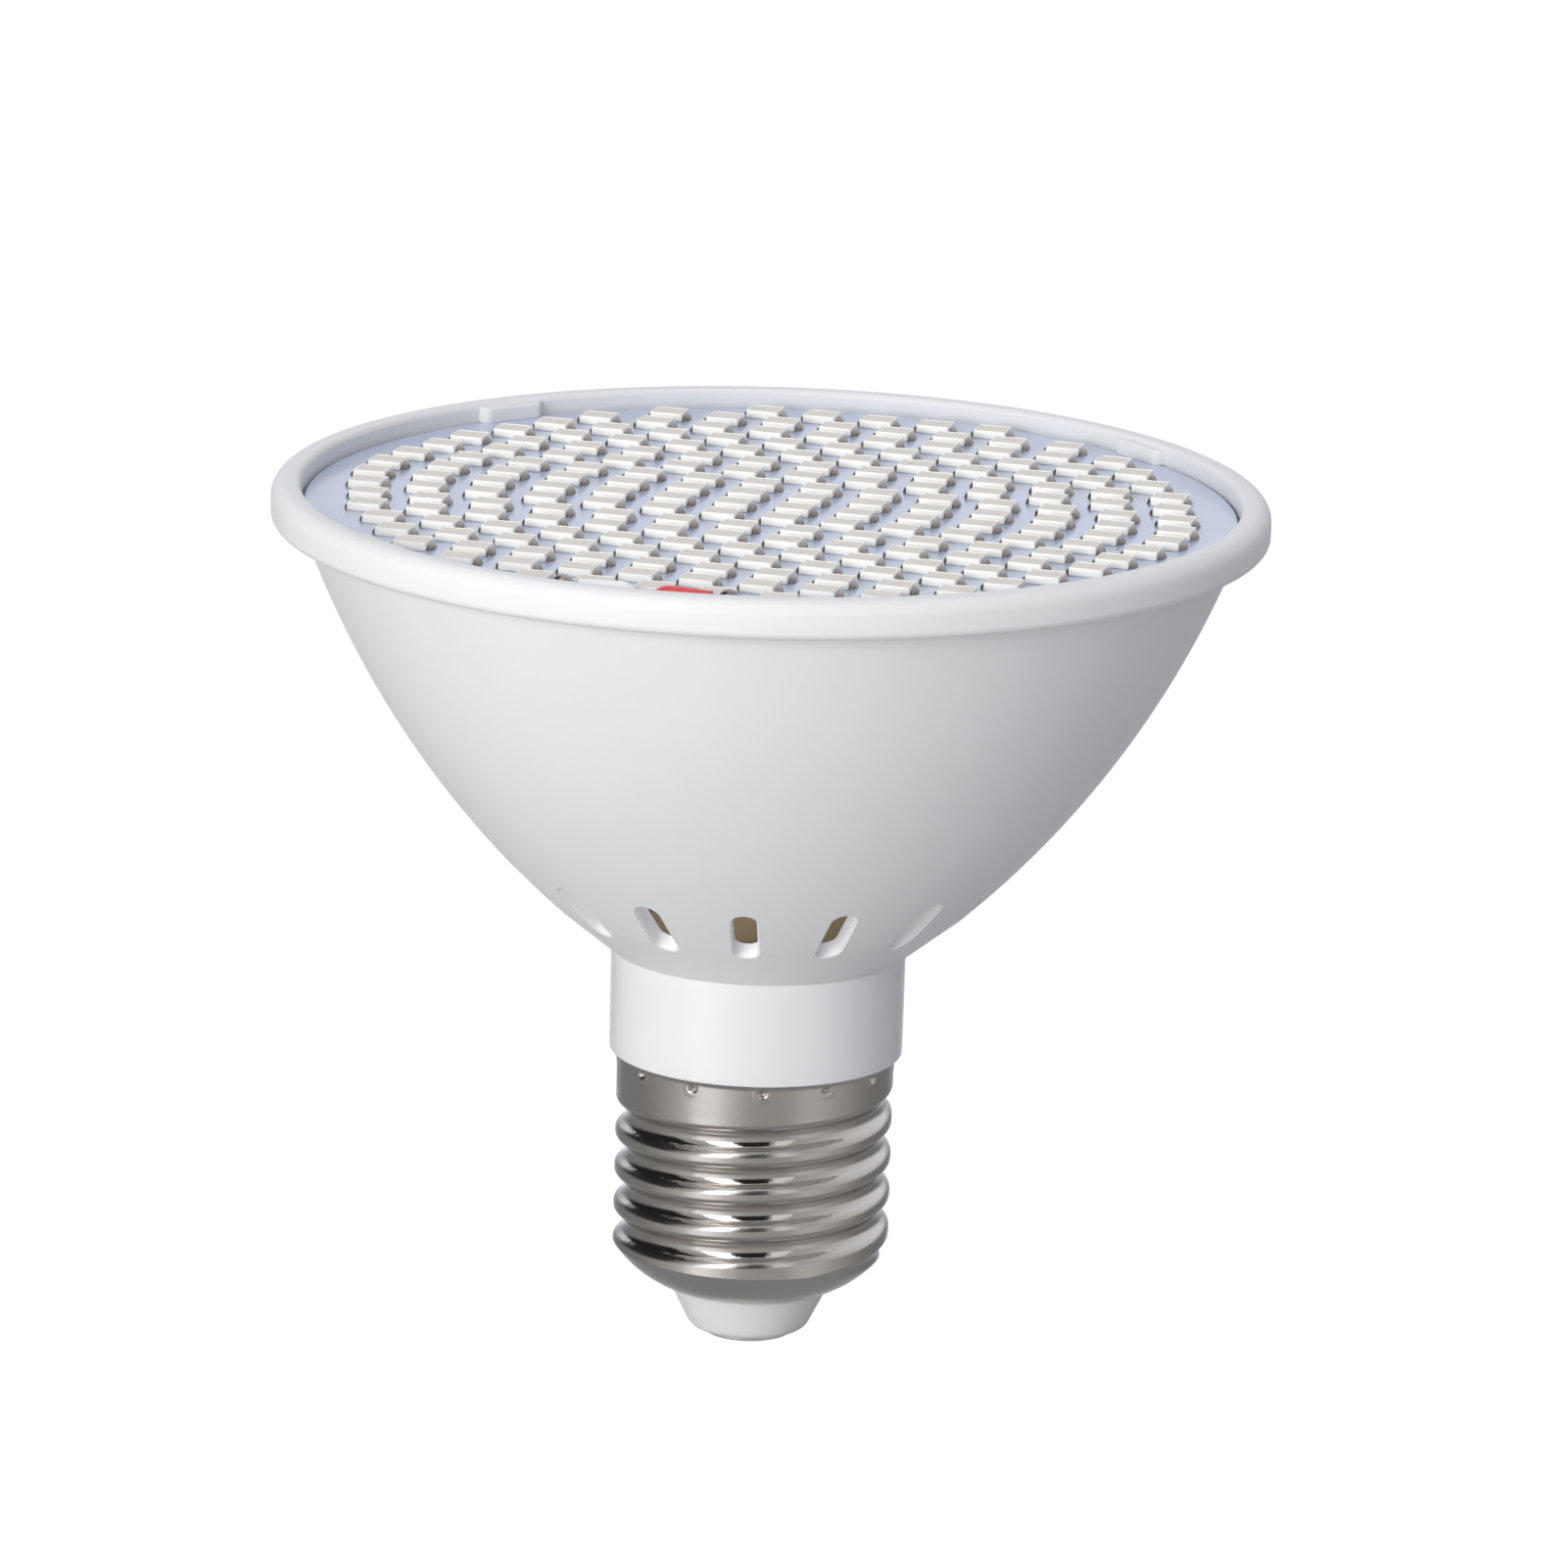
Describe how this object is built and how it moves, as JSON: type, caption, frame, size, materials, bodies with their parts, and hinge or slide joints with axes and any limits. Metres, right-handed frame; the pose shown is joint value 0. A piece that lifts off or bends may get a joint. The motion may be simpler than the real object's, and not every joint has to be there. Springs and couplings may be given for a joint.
{
  "type": "led grow light bulb",
  "caption": "Reflector-shaped LED grow light bulb with an E27 screw cap, a vented plastic bell and a flat round board of diodes facing out.",
  "frame": {"origin": "centre of the outer face of the centre contact, on the bulb's axis", "axes": "+Z along the bulb's axis from the screw cap to the board of diodes, -Y the side that faces the camera, +X to the right"},
  "size_m": [0.0938, 0.0938, 0.0826],
  "materials": {
    "cap_metal": "nickel-plated, rolled",
    "insulator_ivory": "matt",
    "contact_metal": "plated",
    "neck_plastic": "gloss",
    "housing_plastic": "satin",
    "board_white": "white solder mask on aluminium",
    "diode_package": "moulded package with a phosphor face",
    "white_insulation": "smooth",
    "red_insulation": "smooth",
    "solder": "dull",
    "circuit_board": "bare laminate",
    "capacitor_sleeve": "shrink sleeve",
    "capacitor_case": "moulded case",
    "black_moulding": "moulded",
    "resistor_coating": "lacquer",
    "ferrite": "sintered",
    "coil_tape": "wrapped tape",
    "tinned_wire": "tinned"
  },
  "bodies": {
    "root": {"screw_shell": "cap_metal", "insulator": "insulator_ivory", "centre_contact": "contact_metal", "neck_sleeve": "neck_plastic", "housing": "housing_plastic", "led_board": "board_white", "leds": "diode_package", "white_lead": "white_insulation", "red_lead": "red_insulation", "lead_solder": "solder", "driver_board": "circuit_board", "electrolytic_capacitor": "capacitor_sleeve", "film_capacitor": "capacitor_case", "bridge_rectifier": "black_moulding", "driver_chip": "black_moulding", "bleed_resistor": "black_moulding", "fuse_resistor": "resistor_coating", "transformer_core": "ferrite", "transformer_coil": "coil_tape", "shell_lead": "tinned_wire", "contact_lead": "tinned_wire"}
  },
  "joints": []
}
